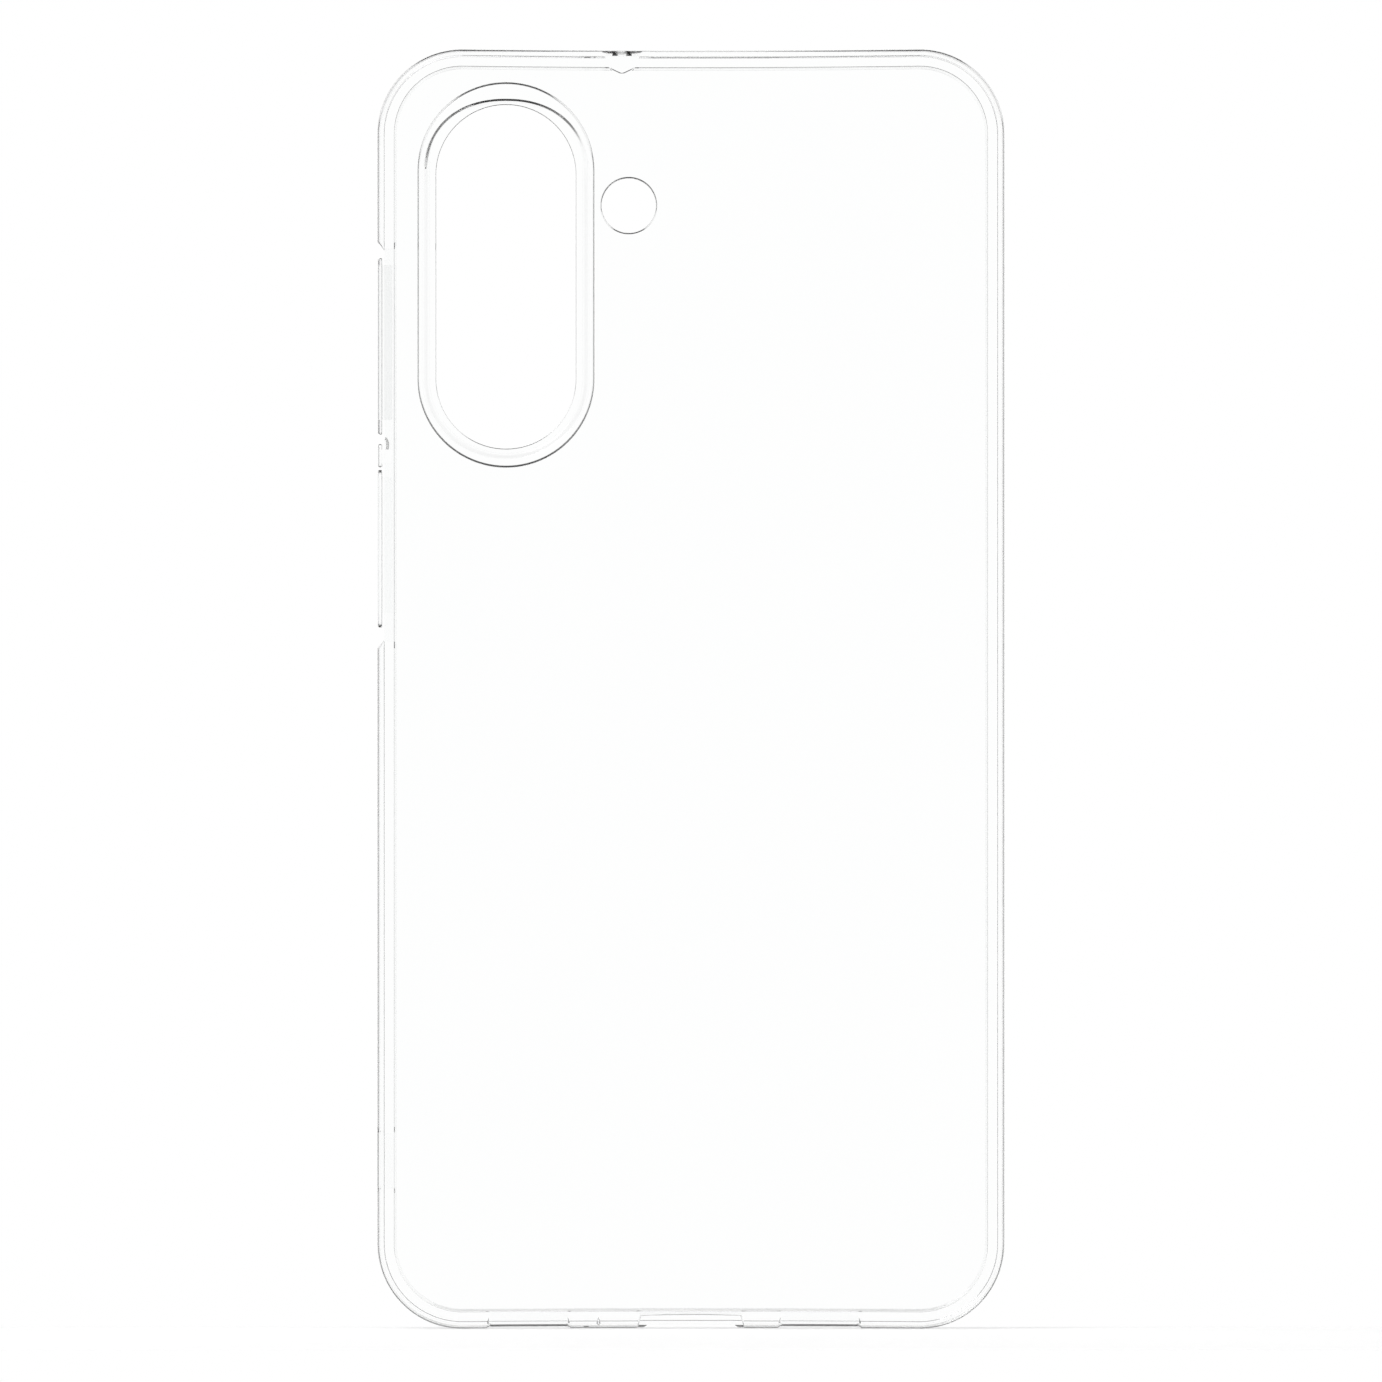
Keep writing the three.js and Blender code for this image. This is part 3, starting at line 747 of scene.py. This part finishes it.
PIECES = [
    (bumper, soft, "soft_clear", "case_shell", frame_nodes),
    (panel, hard, "hard_clear", "case_shell", ["back_panel"]),
    (guard, hard, "hard_clear", "case_shell", ["camera_guard"]),
    (volume_key, darkened_key, "key_clear", "volume_key", ["volume_key_cover"]),
    (power_key, touch, "key_clear", "power_key", ["power_key_cover"]),
]
for piece, material, slot, body, nodes in PIECES:
    piece.data.materials.clear()
    piece.data.materials.append(material)
    smooth(piece)
    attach(piece, body)
    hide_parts(*nodes)


# ---- Stage ----

# Brightness of the surroundings by how far ahead or behind a direction points, less a share
# of how far up or down it points.
ENVIRONMENT = [(0.0, 0.0), (0.3, 0.0), (0.56, 0.12), (0.79, 1.0)]
UPRIGHT_SHADE = 0.52

# Softboxes straight out to the sides, low down on either side in front of the back panel, and
# all over the back of the room. A span is where one fades in, by the cosine of its direction.
SIDE_GLOW = 0.85
SIDE_SPAN = (0.96, 0.99)
LOW_SOFTBOX = (0.64, 0.64, -0.42)
LOW_SPAN = (0.925, 0.965)
REAR_SPAN = (0.35, 0.5)


def world():
    """White backdrop. What the plastic bends and mirrors is darker to the sides, above and below."""
    studio = bpy.data.worlds.new("studio")
    bpy.context.scene.world = studio
    studio.use_nodes = True
    nt = studio.node_tree
    nt.nodes.clear()
    axes = nt.nodes.new("ShaderNodeSeparateXYZ")
    nt.links.new(nt.nodes.new("ShaderNodeTexCoord").outputs["Generated"], axes.inputs[0])
    x, y, z = axes.outputs
    side, ahead, up = (node(nt, "Math", {0: axis}, operation="ABSOLUTE") for axis in (x, y, z))
    shade = node(nt, "Math", {0: up, 1: -UPRIGHT_SHADE, 2: ahead}, operation="MULTIPLY_ADD")
    ramp = nt.nodes.new("ShaderNodeValToRGB")
    ramp.color_ramp.interpolation = "EASE"
    while len(ramp.color_ramp.elements) < len(ENVIRONMENT):
        ramp.color_ramp.elements.new(0.5)
    for element, (position, value) in zip(ramp.color_ramp.elements, ENVIRONMENT):
        element.position = position
        element.color = (value, value, value, 1)
    nt.links.new(shade, ramp.inputs[0])
    mirrored = node(nt, "CombineXYZ", {0: side, 1: y, 2: z})
    nearness = node(nt, "VectorMath", {0: mirrored, 1: LOW_SOFTBOX}, operation="DOT_PRODUCT")
    behind = node(nt, "Math", {0: y, 1: -1}, operation="MULTIPLY")
    glows = [step_up(nt, side, *SIDE_SPAN, SIDE_GLOW)]
    glows += [step_up(nt, nearness, *LOW_SPAN), step_up(nt, behind, *REAR_SPAN)]
    brightness = ramp.outputs["Color"]
    for glow in glows:
        brightness = node(nt, "Math", {0: brightness, 1: glow}, operation="MAXIMUM")
    surroundings = node(nt, "Background", {"Color": brightness})
    backdrop = node(nt, "Background", {"Color": (1, 1, 1, 1)})
    camera_ray = nt.nodes.new("ShaderNodeLightPath").outputs["Is Camera Ray"]
    mix = node(nt, "MixShader", {0: camera_ray, 1: surroundings, 2: backdrop})
    nt.links.new(mix, nt.nodes.new("ShaderNodeOutputWorld").inputs[0])


# A long lens far away, level with the middle of the case, that takes in a little more than it.
LENS = 1000.0
SENSOR = 36.0
FRAME_HEIGHT = 0.17952
CAMERA_X = 0.01 * MM
CAMERA_DROP = 0.25 * MM


def add_camera():
    data = bpy.data.cameras.new("camera")
    data.lens = LENS
    data.sensor_width = SENSOR
    data.clip_end = 100
    camera = bpy.data.objects.new("camera", data)
    bpy.context.scene.collection.objects.link(camera)
    camera.location = (CAMERA_X, -LENS / SENSOR * FRAME_HEIGHT, MIDDLE_Z - CAMERA_DROP)
    camera.rotation_euler = (math.radians(90), 0, 0)
    bpy.context.scene.camera = camera


# The floor lies just below the case, mostly in front of it, and shines a little.
FLOOR_HALF_X = 0.12
FLOOR_SPAN_Y = (-0.16, 0.014)
FLOOR_DROP = 0.05 * MM
FLOOR_GLOW = 0.6


def paper(name, glow):
    """Pale paper, lit a little from within, with a faint tooth."""
    mat, nt, shader = new_material(name)
    tooth = node(nt, "TexNoise", {"Scale": 900})
    bump = node(nt, "Bump", {"Strength": 0.05, "Distance": 0.2 * MM, "Height": tooth})
    fill(nt, shader, {"Base Color": (0.9, 0.9, 0.9, 1), "Roughness": 0.9, "Normal": bump})
    fill(nt, shader, {"Emission Color": (1, 1, 1, 1), "Emission Strength": glow})
    return mat


def floor():
    front_y, back_y = FLOOR_SPAN_Y
    bm = bmesh.new()
    left, right = -FLOOR_HALF_X, FLOOR_HALF_X
    edge = [(right, back_y), (left, back_y), (left, front_y), (right, front_y)]
    bm.faces.new([bm.verts.new((x, y, BOTTOM_Z - FLOOR_DROP)) for x, y in edge])
    plane = mesh_object("floor", bm)
    plane.data.materials.append(paper("floor_paper", FLOOR_GLOW))


# A round softbox above, in front and to the left.
LIGHT_SIZE = 1.2
LIGHT_POWER = 9
LIGHT_PLACE = (-0.9, -1.1, 1.5)


def soft_light():
    data = bpy.data.lights.new("soft_light", "AREA")
    data.shape = "DISK"
    data.size = LIGHT_SIZE
    data.energy = LIGHT_POWER
    lamp = bpy.data.objects.new("soft_light", data)
    lamp.location = LIGHT_PLACE
    aim = Vector((0, 0, MIDDLE_Z)) - lamp.location
    lamp.rotation_euler = aim.to_track_quat("-Z", "Y").to_euler()
    bpy.context.scene.collection.objects.link(lamp)


world()
add_camera()
floor()
soft_light()
bpy.context.scene.view_settings.view_transform = "Standard"
